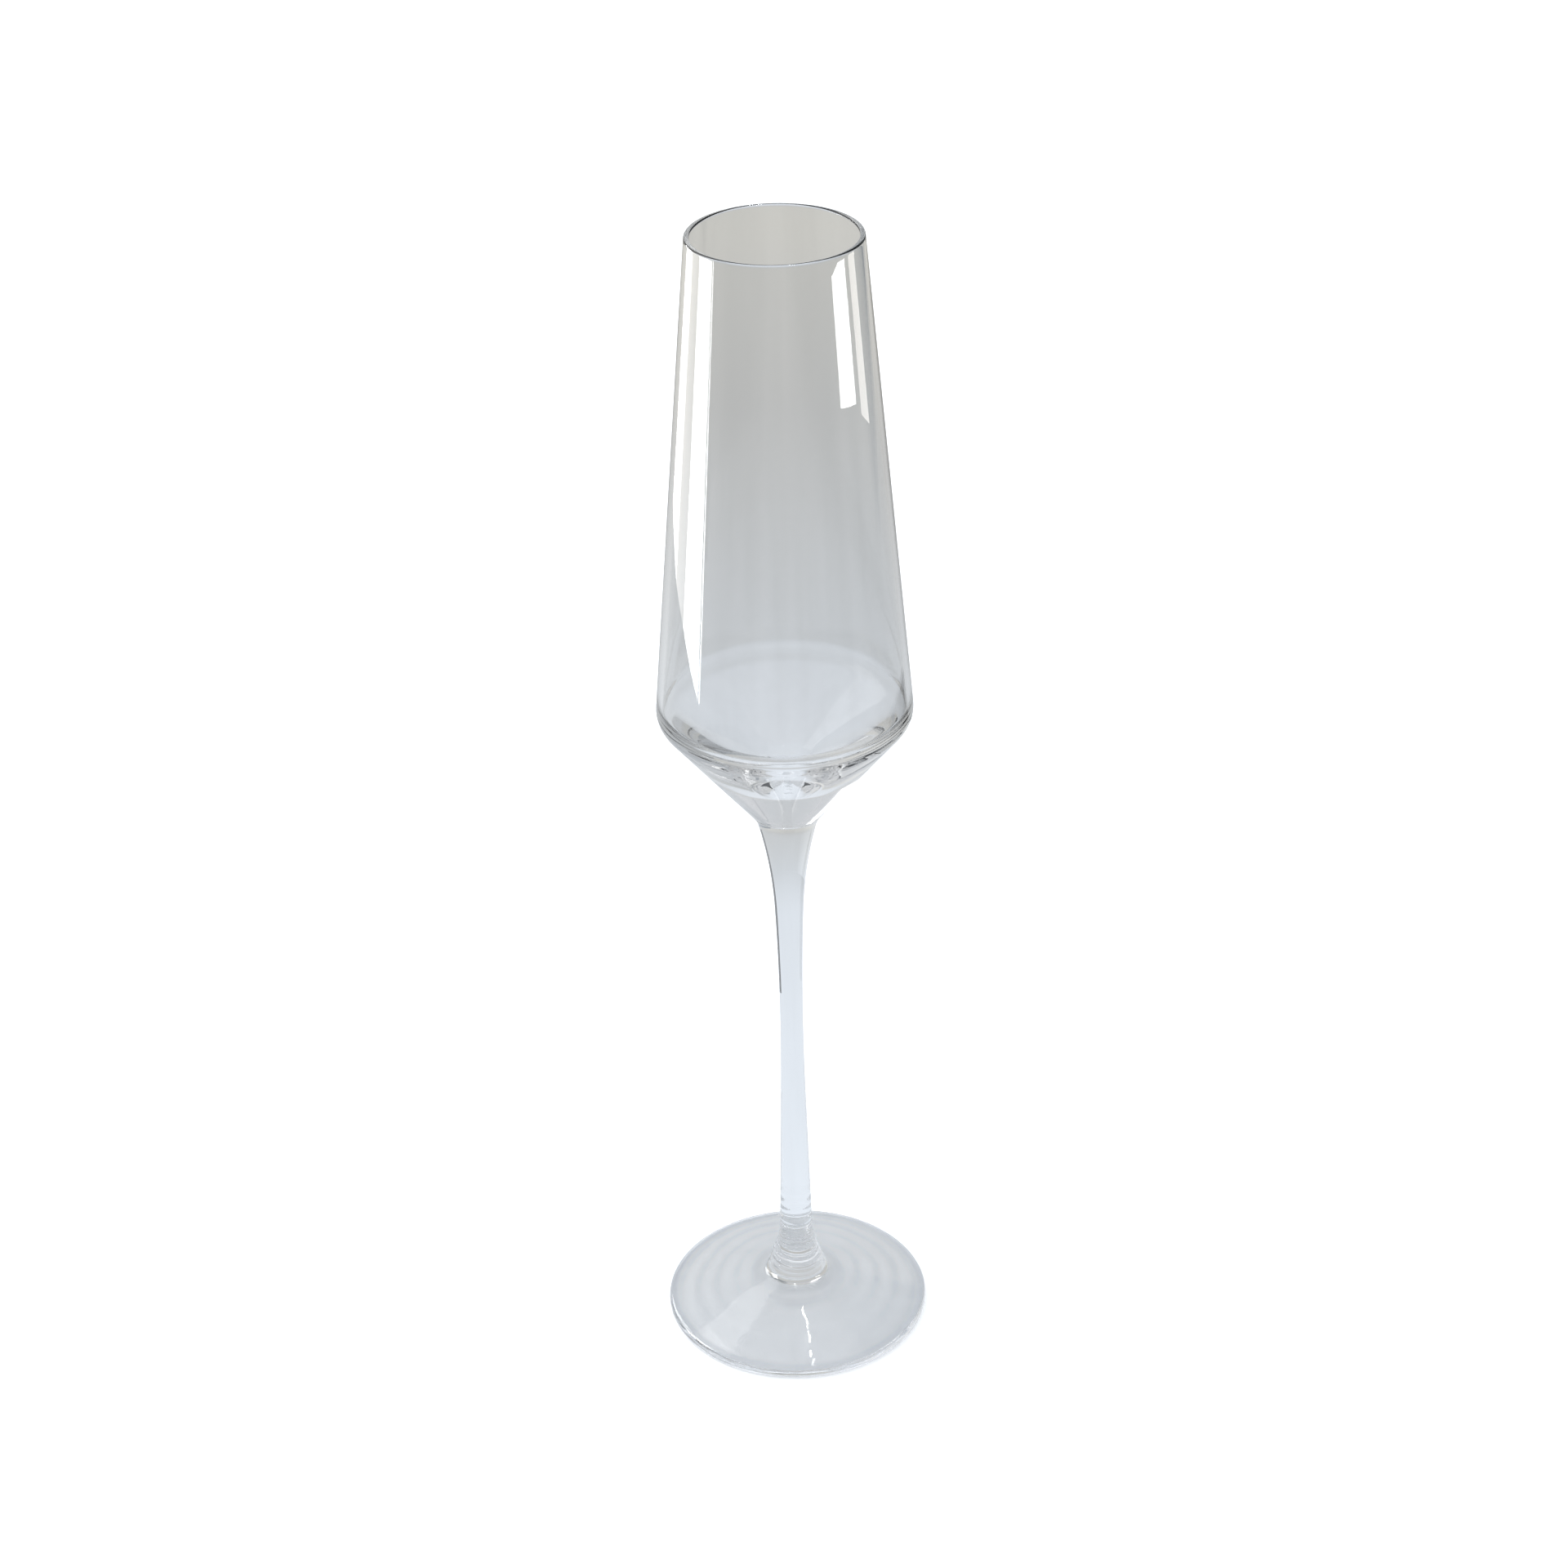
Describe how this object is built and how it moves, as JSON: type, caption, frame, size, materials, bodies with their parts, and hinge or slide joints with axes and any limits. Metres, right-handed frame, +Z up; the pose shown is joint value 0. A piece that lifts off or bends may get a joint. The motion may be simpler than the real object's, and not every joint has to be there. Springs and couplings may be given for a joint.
{
  "type": "champagne flute",
  "caption": "Tall clear-glass flute: straight-sided bowl narrowing to the rim, angular shoulder, solid base, drawn stem and round foot.",
  "frame": {"origin": "centre of the plane that the foot rests on", "axes": "+Z up along the axis of the stem and bowl; the glass is round, so +X and +Y are any two directions across it"},
  "size_m": [0.0628, 0.0628, 0.275],
  "materials": {
    "bowl_glass": "polished clear glass, fire-polished lip",
    "stem_glass": "polished clear glass, smoothly drawn",
    "foot_glass": "polished clear glass with faint rings from spinning"
  },
  "bodies": {
    "root": {"bowl": "bowl_glass", "stem": "stem_glass", "foot": "foot_glass"}
  },
  "joints": []
}
